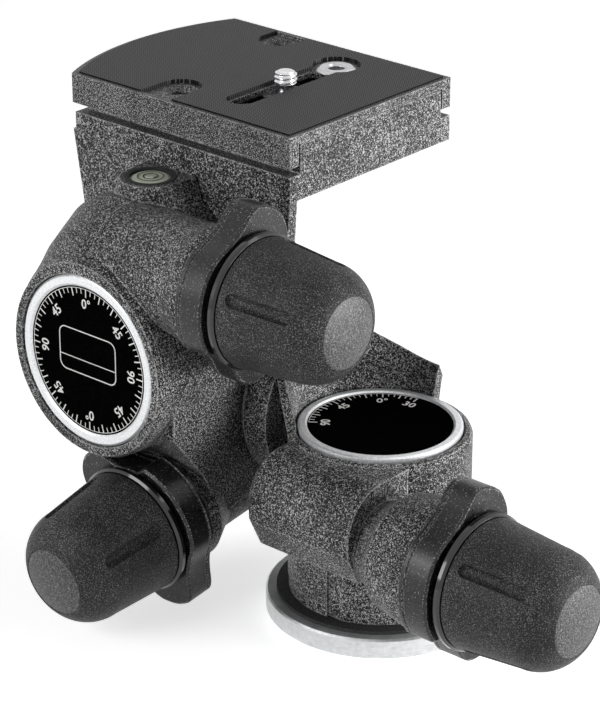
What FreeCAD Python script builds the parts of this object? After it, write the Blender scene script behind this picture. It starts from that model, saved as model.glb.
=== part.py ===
import FreeCAD, Part
import math
import os

# Geared three-way tripod head. Millimetres, +Z up, the pan axis is the Z axis
# and the underside of the base is z = 0. +X is the direction of the pan knob
# and -Y is the direction that the big side dial faces.

V = FreeCAD.Vector
X = V(1, 0, 0)
Y = V(0, 1, 0)
Z = V(0, 0, 1)

# Running clearances
RUN = 0.06            # radial play of a shaft in its bush
GAP = 0.3             # gap between parts that move past each other
PLAY = 0.3            # backlash of a worm in its wheel, both flanks together

# Base
BASE_R = 30.0
BASE_H = 5.6
THREAD_R = 4.2        # 3/8 inch tripod thread, wall of the tapped hole
THREAD_LEN = 11.0
BUSH_WALL = 3.0
FRICTION_R = 27.1
FRICTION_H = 1.0

# Pan column and its bearings
COLUMN_R = 11.0
SPINDLE_R = 8.0
COLUMN_FLANGE_R = 15.0
COLUMN_FLANGE_H = 2.6
BEARING_WALL = 3.0

# Worm gears
MODULE = 0.95
WORM_R = 5.0
PRESSURE = 20.0
PAN_TEETH = 40
SIDE_TEETH = 40
FRONT_TEETH = 34
WHEEL_W = 8.0
WORM_HALF = 9.4       # half length of the threaded stretch
JOURNAL_R = 4.0

# Pan housing
PAN_WORM_Z = 35.0
PAN_ROOM = 1.25       # free space round the worm wheel
PAN_WALL = 2.9
PAN_R = MODULE * (PAN_TEETH / 2 + 1) + PAN_ROOM + PAN_WALL
PAN_TOP = 52.4
DIAL_RING_R = 21.6
DIAL_R = 19.1
DIAL_TOP = 53.0
PAN_DECK = 44.2
DIAL_SEAT = 50.6

# Front tilt axis, along X
FRONT_Y = 4.5
FRONT_Z = 50.6
FRONT_WHEEL_X = -48.0
SEAM_X = -32.0
HUB_R = 22.5
BARREL_R = 20.5
BARREL_END = -58.6
FRONT_KNOB_DIP = 7.75

# Side tilt axis, along Y
SIDE_X = -59.4
SIDE_Z = 69.3
SIDE_WHEEL_Y = -31.0
DRUM_R = 26.8
DRUM_FRONT = -48.2
DRUM_BACK = -12.9
SHOULDER_R = 22.3
SHOULDER_X = -62.0
SHOULDER_Z = 86.6
SIDE_DIAL_R = 20.4
SIDE_RING_R = 23.4
SIDE_DIAL_FACE = -47.3

# Platform and quick release plate
PLATE_X0 = -98.3
PLATE_X1 = -20.4
PLATE_Y0 = -12.3
PLATE_Y1 = 51.9
PLATE_TOP = 130.0
PLATE_WEB = 2.4
PLATE_LIP = 8.2
PLATE_LIP_T = 3.4
PLATE_BULGE = 7.5
SHELF_DROP = 10.6     # from the plate's top to the shelf beside the riser
BLOCK_T = 6.9
BLOCK_SHELF = PLATE_TOP - SHELF_DROP
BLOCK_BOTTOM = BLOCK_SHELF - BLOCK_T
BRACKET_T = 3.0
GUSSET_T = 2.5
GUSSET_STEP = 28.0
PAD_T = 1.2
CAMERA_SCREW_R = 3.1
SCREW_NECK_R = 2.4
SLOT_X = -49.3        # slot across the plate, with a bush at its far end
SLOT_Y0 = 1.5
SLOT_Y1 = 30.0
SCREW_Y = 18.5
SCREW_REACH = 3.8     # thread above the plate
SCREW_TOP = PLATE_TOP + SCREW_REACH
PLATE_BUSH_Y = 39.0
PLATE_BUSH_R = 5.7
NOTCH_R = 5.6
NOTCHES = ((-68.4, -1.5), (-75.5, 45.0))

# Quick release lever, on the side away from the dial
LEVER_X = -40.0
LEVER_Y = 43.0
LEVER_REACH = 38.0
LEVER_T = 4.0
LEVER_Z0 = BLOCK_BOTTOM + 0.7
LEVER_Z1 = LEVER_Z0 + LEVER_T
LEVER_PIN_R = 2.0
CATCH_R = 2.2
BUTTON_R = 3.2

# Knobs
KNOB_LEN = 29.0
KNOB_R = 17.2
GROOVES = 4
RING_T = 8.8
RING_R = 16.6
EAR_R = 23.8
EAR_SPREAD = 110.0
EAR_TIP = 8.0
THUMB_R = 19.2
COLLAR_T = 3.0
SLEEVE_R = 9.0
SLEEVE_START = 14.4


def save(name, shape):
    if not shape.isValid():
        print("INVALID", name)
    shape.exportStep("parts/%s.step" % name)
    print("%-24s %d solid(s) %9.1f mm3" % (name, len(shape.Solids), shape.Volume))


def fuse(first, *others):
    shape = first.multiFuse(list(others)) if others else first
    return shape.removeSplitter()


def cut(shape, *tools):
    for tool in tools:
        shape = shape.cut(tool)
    return shape


def cyl(r, base, axis, length):
    return Part.makeCylinder(r, length, base, axis)


def tube(r_in, r_out, base, axis, length):
    return cyl(r_out, base, axis, length).cut(cyl(r_in, base, axis, length))


def lathe(points, base=V(0, 0, 0), axis=Z):
    """Solid of revolution from (radius, height) points along an axis."""
    wire = Part.makePolygon([V(r, 0, h) for r, h in points + points[:1]])
    solid = Part.Face(wire).revolve(V(0, 0, 0), Z, 360)
    turn = FreeCAD.Rotation(Z, axis)
    solid.Placement = FreeCAD.Placement(base, turn)
    return solid


def prism(points, along):
    """Solid from a closed outline of 3-D points pushed along a vector."""
    return Part.Face(Part.makePolygon(points + points[:1])).extrude(along)


def box(x0, x1, y0, y1, z0, z1):
    return Part.makeBox(x1 - x0, y1 - y0, z1 - z0, V(x0, y0, z0))


def polar(r, degrees, h=0.0):
    a = math.radians(degrees)
    return V(r * math.cos(a), r * math.sin(a), h)


class Frame:
    """A worm axis: z runs outwards to the knob, x points to the wheel."""

    def __init__(self, origin, out, toward, teeth):
        self.origin = origin
        self.out = out
        self.toward = toward
        side = out.cross(toward)
        self.side = side
        self.worm = self.placement(origin, toward, side, out)
        self.hub = origin + toward * centre_distance(teeth)
        self.wheel = self.placement(self.hub, toward * -1, out, side)

    def placement(self, at, x, y, z):
        m = FreeCAD.Matrix(x.x, y.x, z.x, at.x, x.y, y.y, z.y, at.y,
                           x.z, y.z, z.z, at.z, 0, 0, 0, 1)
        return FreeCAD.Placement(m)

    def put(self, shape):
        placed = shape.copy()
        placed.Placement = self.worm.multiply(shape.Placement)
        return placed

    def put_wheel(self, shape):
        placed = shape.copy()
        placed.Placement = self.wheel.multiply(shape.Placement)
        return placed


def centre_distance(teeth):
    return MODULE * teeth / 2 + WORM_R


def wheel_radius(teeth):
    return MODULE * teeth / 2 + MODULE


DIP = math.radians(FRONT_KNOB_DIP)
FRONT_OUT = V(0, -math.cos(DIP), -math.sin(DIP))
FRONT_UP = V(0, -math.sin(DIP), math.cos(DIP))
FRONT_HUB = V(FRONT_WHEEL_X, FRONT_Y, FRONT_Z)

SIDE_HUB = V(SIDE_X, SIDE_WHEEL_Y, SIDE_Z)
PAN_HUB = V(0, 0, PAN_WORM_Z)

SIDE = Frame(SIDE_HUB + Z * centre_distance(SIDE_TEETH), X, Z * -1, SIDE_TEETH)
FRONT = Frame(FRONT_HUB - FRONT_UP * centre_distance(FRONT_TEETH), FRONT_OUT, FRONT_UP, FRONT_TEETH)
PAN = Frame(PAN_HUB - Y * centre_distance(PAN_TEETH), X, Y, PAN_TEETH)

# Where each knob starts along its worm axis, the turn of its grooves, the
# direction of the thumb side of its lever ring
KNOBS = {
    "side": (SIDE, 45.8, 247.0, 270.0),
    "front": (FRONT, 52.1, -63.0, -45.0),
    "pan": (PAN, 53.6, 142.0, 184.0),
}


def worm_wheel(teeth, bore):
    """Disc with slanted tooth spaces, one of them facing the worm."""
    pitch_r = MODULE * teeth / 2
    tip_r = wheel_radius(teeth)
    root_r = pitch_r - 1.25 * MODULE
    slope = MODULE / (2 * WORM_R)
    blank = tube(bore, tip_r, V(0, 0, -WHEEL_W / 2), Z, WHEEL_W)
    half = math.pi * MODULE / 4 + PLAY / 4
    lean = math.tan(math.radians(PRESSURE + 2))
    top = half + (MODULE + 0.5) * lean
    bottom = half - 1.25 * MODULE * lean
    reach = WHEEL_W / 2 + 0.5
    spaces = []
    for i in range(teeth):
        outline = [V(root_r, -bottom, 0), V(tip_r + 0.5, -top, 0),
                   V(tip_r + 0.5, top, 0), V(root_r, bottom, 0)]
        space = prism(outline, V(0, 2 * reach * slope, 2 * reach))
        space.translate(V(0, -reach * slope, -reach))
        space.rotate(V(0, 0, 0), Z, 360.0 * i / teeth)
        spaces.append(space)
    return blank.cut(Part.makeCompound(spaces))


def worm_shaft(inner_end, outer_end):
    """Ground shaft with the worm thread round its inner end."""
    lead = math.pi * MODULE
    root = WORM_R - 1.2 * MODULE
    tip = WORM_R + MODULE
    half = math.pi * MODULE / 4 - PLAY / 4
    lean = math.tan(math.radians(PRESSURE))
    foot = half + (WORM_R - root + 0.15) * lean
    crest = half - MODULE * lean
    turns = int(2 * (WORM_HALF - 1.8) / lead)
    start = -turns * lead / 2
    helix = Part.makeHelix(lead, turns * lead, WORM_R)
    helix.translate(V(0, 0, start))
    deep = root - 0.15
    corners = [V(deep, 0, start - foot), V(tip, 0, start - crest),
               V(tip, 0, start + crest), V(deep, 0, start + foot)]
    profile = Part.makePolygon(corners + corners[:1])
    sweep = Part.Wire(helix).makePipeShell([profile], True, True)
    thread = Part.Solid(sweep) if sweep.ShapeType != "Solid" else sweep
    if turns % 2:
        thread.rotate(V(0, 0, 0), Z, 180)
    core = lathe([(0, inner_end), (JOURNAL_R, inner_end), (JOURNAL_R, -WORM_HALF - 1.5),
                  (root, -WORM_HALF - 1.5), (root, WORM_HALF + 1.5),
                  (JOURNAL_R, WORM_HALF + 1.5), (JOURNAL_R, outer_end), (0, outer_end)])
    return core.fuse(thread)


def ear_outline(bulge):
    """Closed face of the lever ring: a thumb bulge between a round and a sharp ear."""

    def at(r, degrees):
        return polar(r, bulge + degrees)

    lobe = at(EAR_R - EAR_TIP, EAR_SPREAD)
    root = at(RING_R, EAR_SPREAD - 40)
    inner = lobe + at(EAR_TIP, EAR_SPREAD - 62)
    outer = lobe + at(EAR_TIP, EAR_SPREAD + 62)
    tail = at(RING_R, EAR_SPREAD + 38)
    horn = at(EAR_R + 0.6, -EAR_SPREAD + 14)
    heel = at(RING_R, -EAR_SPREAD - 36)
    swell = Part.BSplineCurve()
    swell.interpolate([horn, at(21.0, -86), at(18.6, -73), at(18.3, -60), at(THUMB_R, -44)])
    dip = Part.BSplineCurve()
    dip.interpolate([root, at(RING_R + 0.7, EAR_SPREAD - 31), inner])
    rise = Part.BSplineCurve()
    rise.interpolate([outer, at(RING_R + 0.9, EAR_SPREAD + 31), tail])
    edges = [Part.Arc(at(THUMB_R, -44), at(THUMB_R, -4), at(THUMB_R, 36)).toShape(),
             Part.makeLine(at(THUMB_R, 36), at(RING_R, 38)),
             Part.Arc(at(RING_R, 38), at(RING_R, 54), root).toShape(),
             dip.toShape(),
             Part.Arc(inner, lobe + at(EAR_TIP, EAR_SPREAD), outer).toShape(),
             rise.toShape(),
             Part.Arc(tail, at(RING_R, 180), heel).toShape(),
             Part.Arc(heel, at(22.8, -EAR_SPREAD - 12), horn).toShape(),
             swell.toShape()]
    return Part.Face(Part.Wire(edges))


def lever_ring(start, bulge):
    """Ring with two ears that turns the eccentric sleeve of a worm."""
    bore = Part.Face(Part.Wire(Part.makeCircle(SLEEVE_R)))
    solid = ear_outline(bulge).cut(bore).Faces[0].extrude(V(0, 0, RING_T))
    solid.translate(V(0, 0, start))
    return solid


def knob_grip(start):
    """Domed rubber grip with rounded finger grooves and an end recess."""
    shoulder = V(KNOB_R - 1.5, 0, 18.5)
    rim = V(9.6, 0, KNOB_LEN)
    edge = [Part.makeLine(V(0, 0, 0), V(KNOB_R - 0.8, 0, 0)),
            Part.Arc(V(KNOB_R - 0.8, 0, 0), V(KNOB_R - 0.2, 0, 0.25), V(KNOB_R, 0, 0.9)).toShape(),
            Part.makeLine(V(KNOB_R, 0, 0.9), shoulder),
            Part.Arc(shoulder, V(13.7, 0, 25.3), rim).toShape(),
            Part.makeLine(rim, V(0, 0, KNOB_LEN)),
            Part.makeLine(V(0, 0, KNOB_LEN), V(0, 0, 0))]
    solid = Part.Face(Part.Wire(edge)).revolve(V(0, 0, 0), Z, 360)
    solid = solid.cut(cyl(9.3, V(0, 0, KNOB_LEN - 1.6), Z, 3))
    solid = solid.cut(cyl(12.5, V(0, 0, -1), Z, 21))
    return solid


def knob_grooves(grip, phase):
    """Cuts the pill-shaped grooves into the side of the grip."""
    depth = 1.5
    width = 3.6
    first, last = 2.6, 22.5
    lean = math.degrees(math.atan2(1.5, 17.6))
    tools = []
    for i in range(GROOVES):
        slot = cyl(width / 2, V(0, 0, first + width / 2), Z, last - first - width)
        ends = [Part.makeSphere(width / 2, V(0, 0, z))
                for z in (first + width / 2, last - width / 2)]
        pill = slot.fuse(ends[0]).fuse(ends[1])
        pill.rotate(V(0, 0, 0), Y, -lean)
        pill.translate(V(KNOB_R + width / 2 - depth, 0, 0))
        pill.rotate(V(0, 0, 0), Z, phase + 360.0 * i / GROOVES)
        tools.append(pill)
    return cut(grip, *tools)


def knob_parts(name):
    """Writes the pieces of one worm knob."""
    frame, start, phase, bulge = KNOBS[name]
    ring_back = start - COLLAR_T - RING_T
    inner = -15.5
    shaft = worm_shaft(inner, start + 14)
    save("%s_worm_shaft" % name, frame.put(shaft))

    sleeve = lathe([(JOURNAL_R + RUN, SLEEVE_START), (SLEEVE_R, SLEEVE_START),
                    (SLEEVE_R, start - COLLAR_T - 0.4), (JOURNAL_R + RUN, start - COLLAR_T - 0.4)])
    save("%s_eccentric_sleeve" % name, frame.put(sleeve))

    ring = lever_ring(ring_back, bulge)
    save("%s_lever_ring" % name, frame.put(ring))

    core = lathe([(JOURNAL_R, start - COLLAR_T + 0.1), (KNOB_R - 1.5, start - COLLAR_T + 0.1),
                  (KNOB_R + 0.7, start - COLLAR_T + 1.4), (KNOB_R + 0.7, start - 0.6),
                  (KNOB_R + 0.1, start), (12.5, start), (12.5, start + 19.9),
                  (JOURNAL_R, start + 19.9)])
    save("%s_knob_core" % name, frame.put(core))

    grip = knob_grooves(knob_grip(start), phase)
    grip.translate(V(0, 0, start))
    save("%s_knob_grip" % name, frame.put(grip))

    cap_edge = [Part.makeLine(V(0, 0, 0), V(9.3, 0, 0)),
                Part.makeLine(V(9.3, 0, 0), V(9.3, 0, 1.5)),
                Part.Arc(V(9.3, 0, 1.5), V(5.5, 0, 2.3), V(1.0, 0, 2.6)).toShape(),
                Part.makeLine(V(1.0, 0, 2.6), V(0, 0, 2.6)),
                Part.makeLine(V(0, 0, 2.6), V(0, 0, 0))]
    cap = Part.Face(Part.Wire(cap_edge)).revolve(V(0, 0, 0), Z, 360)
    cap.translate(V(0, 0, start + KNOB_LEN - 1.6))
    save("%s_knob_end_disc" % name, frame.put(cap))


def worm_bores(name):
    """Bores that a housing needs for one worm, its sleeve and its far bearing."""
    frame, start = KNOBS[name][0], KNOBS[name][1]
    ring_back = start - COLLAR_T - RING_T
    worm_room = WORM_R + MODULE + 0.6
    tools = [cyl(JOURNAL_R + RUN, V(0, 0, -15.6), Z, 10),
             cyl(worm_room, V(0, 0, -WORM_HALF - 2), Z, WORM_HALF + 2 + SLEEVE_START),
             cyl(SLEEVE_R + RUN, V(0, 0, SLEEVE_START - GAP), Z, ring_back - SLEEVE_START + 2)]
    return [frame.put(t) for t in tools]


def base_parts():
    bush_r = THREAD_R + BUSH_WALL
    disc = lathe([(bush_r, 0), (BASE_R - 0.4, 0), (BASE_R, 0.4), (BASE_R, BASE_H - 0.5),
                  (BASE_R - 0.5, BASE_H), (bush_r, BASE_H)])
    holes = [cyl(1.6, polar(12.0, 120 * i, -1), Z, 12) for i in range(3)]
    heads = [cyl(3.0, polar(12.0, 120 * i, -1), Z, 3.4) for i in range(3)]
    save("base_disc", cut(disc, *(holes + heads)))
    bush = lathe([(THREAD_R, 0), (bush_r, 0), (bush_r, THREAD_LEN), (THREAD_R, THREAD_LEN)])
    save("base_thread_bush", bush)

    flange_top = BASE_H + COLUMN_FLANGE_H
    wheel_seat = PAN_WORM_Z - WHEEL_W / 2
    nut_top = PAN_DECK + 6.3
    column = lathe([(bush_r, BASE_H), (COLUMN_FLANGE_R, BASE_H), (COLUMN_FLANGE_R, flange_top),
                    (COLUMN_R, flange_top), (COLUMN_R, wheel_seat), (SPINDLE_R, wheel_seat),
                    (SPINDLE_R, nut_top), (0, nut_top), (0, THREAD_LEN + 0.5),
                    (bush_r, THREAD_LEN + 0.5)])
    column = cut(column, *[cyl(1.6, polar(12.0, 120 * i, BASE_H - 1), Z, 2.6) for i in range(3)])
    save("pan_column", column)
    screws = []
    for i in range(3):
        at = polar(12.0, 120 * i)
        shank = cyl(1.55, at + Z * 2.3, Z, BASE_H - 1.2)
        head = cyl(2.9, at + Z * 0.4, Z, 1.95).cut(
            prism([at + polar(1.4, 60 * k, 0.3) for k in range(6)], Z * 1.2))
        screws.append(shank.fuse(head))
    save("base_screws", Part.makeCompound(screws))

    friction = tube(PAN_R - 4.5, FRICTION_R, V(0, 0, BASE_H), Z, FRICTION_H)
    save("base_friction_ring", friction)
    save("pan_worm_wheel", PAN.put_wheel(worm_wheel(PAN_TEETH, SPINDLE_R)))
    nut = prism([polar(11.0, 60 * k, PAN_DECK + 3.9) for k in range(6)], Z * 2.3)
    nut = nut.cut(cyl(SPINDLE_R, V(0, 0, 0), Z, 80))
    save("pan_lock_nut", nut)

    seat = DIAL_TOP - 1.6
    dial = lathe([(0, nut_top), (6.0, nut_top), (6.0, seat - 0.4), (DIAL_RING_R, seat - 0.4),
                  (DIAL_RING_R, seat + 0.2), (DIAL_R, seat + 0.2), (DIAL_R, DIAL_TOP), (0, DIAL_TOP)])
    save("pan_dial", dial)
    ring = lathe([(DIAL_R, seat + 0.2), (DIAL_RING_R, seat + 0.2), (DIAL_RING_R, DIAL_TOP + 0.1),
                  (DIAL_RING_R - 0.6, DIAL_TOP + 0.5), (DIAL_R + 0.5, DIAL_TOP + 0.5),
                  (DIAL_R, DIAL_TOP + 0.1)])
    save("pan_dial_ring", ring)


def pan_block():
    """Worm block on the front of the pan housing, with its rounded nose."""
    y = PAN.origin.y
    z = PAN_WORM_Z
    top = PAN_TOP - 0.6
    front = y - 13.2
    left, step = -14.2, 21.0
    brow, waist, chin = V(left, y - 1.5, top), V(left, front, z + 2), V(left, front, z)
    heel, rear_low, rear_top = V(left, front + 4.0, z - 8), V(left, -14, z - 8), V(left, -14, top)
    outline = [Part.makeLine(rear_top, rear_low), Part.makeLine(rear_low, heel),
               Part.makeLine(heel, chin), Part.makeLine(chin, waist),
               Part.Arc(waist, V(left, front + 2.6, top - 5.0), brow).toShape(),
               Part.makeLine(brow, rear_top)]
    block = Part.Face(Part.Wire(outline)).extrude(X * (step - left))
    nose = [e for e in block.Edges if abs(e.CenterOfMass.x - left) < 0.01
            and e.CenterOfMass.y < -25 and e.CenterOfMass.z > z - 8 + 0.1]
    block = block.makeFillet(3.0, nose)
    back = KNOBS["pan"][1] - COLLAR_T - RING_T - GAP
    flare = Part.Arc(V(11.0, 0, step - 0.5), V(13.6, 0, step + 5), V(15.6, 0, step + 7.5)).toShape()
    side = [Part.makeLine(V(0, 0, 0), V(11.0, 0, 0)), Part.makeLine(V(11.0, 0, 0), V(11.0, 0, step - 0.5)),
            flare, Part.makeLine(V(15.6, 0, step + 7.5), V(17.4, 0, back - 4)),
            Part.makeLine(V(17.4, 0, back - 4), V(17.4, 0, back)),
            Part.makeLine(V(17.4, 0, back), V(0, 0, back)), Part.makeLine(V(0, 0, back), V(0, 0, 0))]
    boss = Part.Face(Part.Wire(side)).revolve(V(0, 0, 0), Z, 360)
    boss.Placement = FreeCAD.Placement(V(0, y, z), FreeCAD.Rotation(Z, X))
    return fuse(block, boss)


def pan_arm():
    """Flared wall that rises round the dial to the front tilt hub, and its inner face."""
    hub = cyl(HUB_R, V(SEAM_X, FRONT_Y, FRONT_Z), X, -SEAM_X)
    top = PAN_TOP
    skin = [(0, 20), (PAN_R, 20), (PAN_R, top - 2.4), (PAN_R + 0.9, top + 3.1),
            (PAN_R + 2.1, top + 8.1), (PAN_R + 4.3, top + 13.6), (PAN_R + 7.9, top + 19.6),
            (PAN_R + 7.9, top + 27.6), (0, top + 27.6)]
    far = box(SEAM_X - 1, 0.1 - PAN_R, -60, 60, 0, top + 37.6)
    arm = fuse(hub.common(far), hub.common(lathe(skin)))
    inner = DIAL_RING_R + 0.7
    scoop = lathe([(0, DIAL_SEAT), (inner, DIAL_SEAT), (inner, top + 2.1), (inner + 0.9, top + 7.1),
                   (inner + 3.0, top + 12.1), (inner + 6.6, top + 17.1), (inner + 12, top + 22.6),
                   (0, top + 22.6)])
    return arm, scoop


def pan_parts():
    z0 = BASE_H + FRICTION_H + 0.1
    floor = 14.0
    inner = PAN_R - PAN_WALL
    shell = lathe([(0, z0), (PAN_R - 0.2, z0), (PAN_R - 0.2, z0 + 3), (PAN_R, z0 + 3.4),
                   (PAN_R, PAN_TOP - 1.6), (PAN_R - 0.5, PAN_TOP - 0.5), (PAN_R - 1.6, PAN_TOP),
                   (0, PAN_TOP)])
    hub, scoop = pan_arm()
    body = fuse(shell, pan_block(), hub)
    bush_r = COLUMN_R + RUN + BEARING_WALL
    top_bush_r = SPINDLE_R + RUN + BEARING_WALL
    tools = [cyl(inner, V(0, 0, floor), Z, PAN_DECK - floor),
             cyl(COLUMN_FLANGE_R + GAP, V(0, 0, 0), Z, BASE_H + COLUMN_FLANGE_H + GAP),
             cyl(bush_r, V(0, 0, 0), Z, floor + 1),
             cyl(top_bush_r, V(0, 0, PAN_DECK - 1), Z, 6),
             cyl(DIAL_RING_R + GAP, V(0, 0, PAN_DECK + 3.6), Z, 6.5),
             scoop,
             cyl(SPINDLE_R, V(SEAM_X - 1, FRONT_Y, FRONT_Z), X, 8.0)]
    recess = box(2.5, 7.0, -PAN_R - 1, -PAN_R + 1.2, z0 - 1, 26.5)
    body = cut(body, *(tools + [recess] + worm_bores("pan")))
    save("pan_housing", body)
    save("pan_lower_bush", tube(COLUMN_R + RUN, bush_r, V(0, 0, BASE_H + COLUMN_FLANGE_H + GAP),
                                Z, floor - BASE_H - COLUMN_FLANGE_H - GAP))
    save("pan_upper_bush", tube(SPINDLE_R + RUN, top_bush_r, V(0, 0, PAN_DECK), Z, 3.6))

    end = BARREL_END + 2.6
    wheel_left = FRONT_WHEEL_X - WHEEL_W / 2
    at = V(end, FRONT_Y, FRONT_Z)
    shaft = lathe([(0, 0), (6.0, 0), (6.0, wheel_left - end), (SPINDLE_R, wheel_left - end),
                   (SPINDLE_R, SEAM_X + 7 - end), (0, SEAM_X + 7 - end)], at, X)
    save("front_tilt_shaft", shaft)
    save("front_tilt_wheel", FRONT.put_wheel(worm_wheel(FRONT_TEETH, SPINDLE_R)))
    nut = tube(6.0, 9.5, V(end + 0.6, FRONT_Y, FRONT_Z), X, wheel_left - end - 0.6)
    save("front_tilt_nut", nut)


def egg(y, low_r, top_r, top_x, top_z):
    """Outline in the XZ plane: a big circle and a smaller one, joined by tangents."""
    a = V(SIDE_X, y, SIDE_Z)
    b = V(top_x, y, top_z)
    run = b - a
    dist = run.Length
    heading = math.atan2(run.z, run.x)
    spread = math.acos((low_r - top_r) / dist)

    def point(c, r, angle):
        return V(c.x + r * math.cos(angle), y, c.z + r * math.sin(angle))

    right, left = heading - spread, heading + spread
    p1, p2 = point(a, low_r, right), point(b, top_r, right)
    p3, p4 = point(b, top_r, left), point(a, low_r, left)
    edges = [Part.makeLine(p1, p2), Part.Arc(p2, point(b, top_r, heading), p3).toShape(),
             Part.makeLine(p3, p4), Part.Arc(p4, point(a, low_r, heading + math.pi), p1).toShape()]
    return Part.Wire(edges)


def drum_casing():
    """Round dial end that swells into the taller worm housing behind it."""
    lip = egg(DRUM_FRONT, DRUM_R - 0.8, DRUM_R - 2.3, SIDE_X - 0.2, SIDE_Z + 2.2)
    rim = egg(DRUM_FRONT + 1.6, DRUM_R, DRUM_R - 1.4, SIDE_X - 0.2, SIDE_Z + 2.4)
    mid = egg(-40.0, DRUM_R + 0.3, 23.6, SIDE_X - 1.4, SIDE_Z + 10.5)
    full = egg(-31.5, DRUM_R + 0.5, SHOULDER_R, SHOULDER_X, SHOULDER_Z)
    back = egg(DRUM_BACK, DRUM_R + 0.5, SHOULDER_R, SHOULDER_X, SHOULDER_Z)
    pieces = [Part.makeLoft([lip, rim], True, True), Part.makeLoft([rim, mid], True, True),
              Part.makeLoft([mid, full], True, True), Part.makeLoft([full, back], True, True)]
    return fuse(*pieces)


def level_boss():
    """Tapered boss for the bubble level, running back to the drum's rear face."""
    foot_z, top_z = 98.0, 112.0

    def wire(z, r, half):
        x, y, back = SIDE_X - 2.2, -20.5, DRUM_BACK
        left, right = V(x - r, y, z), V(x + r, y, z)
        edges = [Part.Arc(left, V(x, y - r, z), right).toShape(),
                 Part.makeLine(right, V(x + half, back, z)),
                 Part.makeLine(V(x + half, back, z), V(x - half, back, z)),
                 Part.makeLine(V(x - half, back, z), left)]
        return Part.Wire(edges)

    return Part.makeLoft([wire(foot_z, 13.0, 14.0), wire(top_z, 8.2, 9.0)], True, True)


def tilt_body_solid():
    front, start = KNOBS["front"][0], KNOBS["front"][1]
    side_start = KNOBS["side"][1]
    back1 = side_start - COLLAR_T - RING_T - GAP
    back2 = start - COLLAR_T - RING_T - GAP
    worm1 = lathe([(0, 0), (15.2, 0), (15.2, back1 - 9), (17.0, back1 - 3), (17.0, back1), (0, back1)])
    worm2 = lathe([(0, -19.0), (10.5, -19.0), (13.0, -16.5), (13.0, back2 - 12), (16.6, back2 - 5),
                   (16.6, back2), (0, back2)])
    barrel = lathe([(0, 0), (BARREL_R - 1.2, 0), (BARREL_R, 1.2),
                    (BARREL_R, SEAM_X - GAP - BARREL_END), (0, SEAM_X - GAP - BARREL_END)],
                   V(BARREL_END, FRONT_Y, FRONT_Z), X)
    x0, x1 = -60.0, -34.0
    web = prism([V(x0, -42, 70), V(x0, DRUM_BACK, 78), V(x0, DRUM_BACK, 66), V(x0, 0, 60),
                 V(x0, 4, 32), V(x0, -24, 24), V(x0, -31, 38), V(x0, -42, 52)], X * (x1 - x0))
    return fuse(drum_casing(), SIDE.put(worm1), front.put(worm2), barrel, web, level_boss())


def bracket_sweep():
    """Room for the bracket wall to swing behind the drum and over the barrel."""
    y0 = PLATE_Y0 - 0.6
    depth = BRACKET_T + 1.0
    top = PLATE_TOP + 10 - SIDE_Z
    hub = cyl(8.6, V(SIDE_X, y0, SIDE_Z), Y, depth)
    right = [(0, 0), (7.6, -4.2), (33.4, 13.7), (59.4, 2.7), (59.4, top), (0, top)]
    left = [(0, 0), (-0.5, -8.6), (-8.0, -12.0), (-24.6, -41.3), (-70.6, -41.3), (-70.6, top), (0, top)]
    sides = [prism([V(SIDE_X + x, y0, SIDE_Z + z) for x, z in side], Y * depth) for side in (right, left)]
    return [hub] + sides


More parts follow.
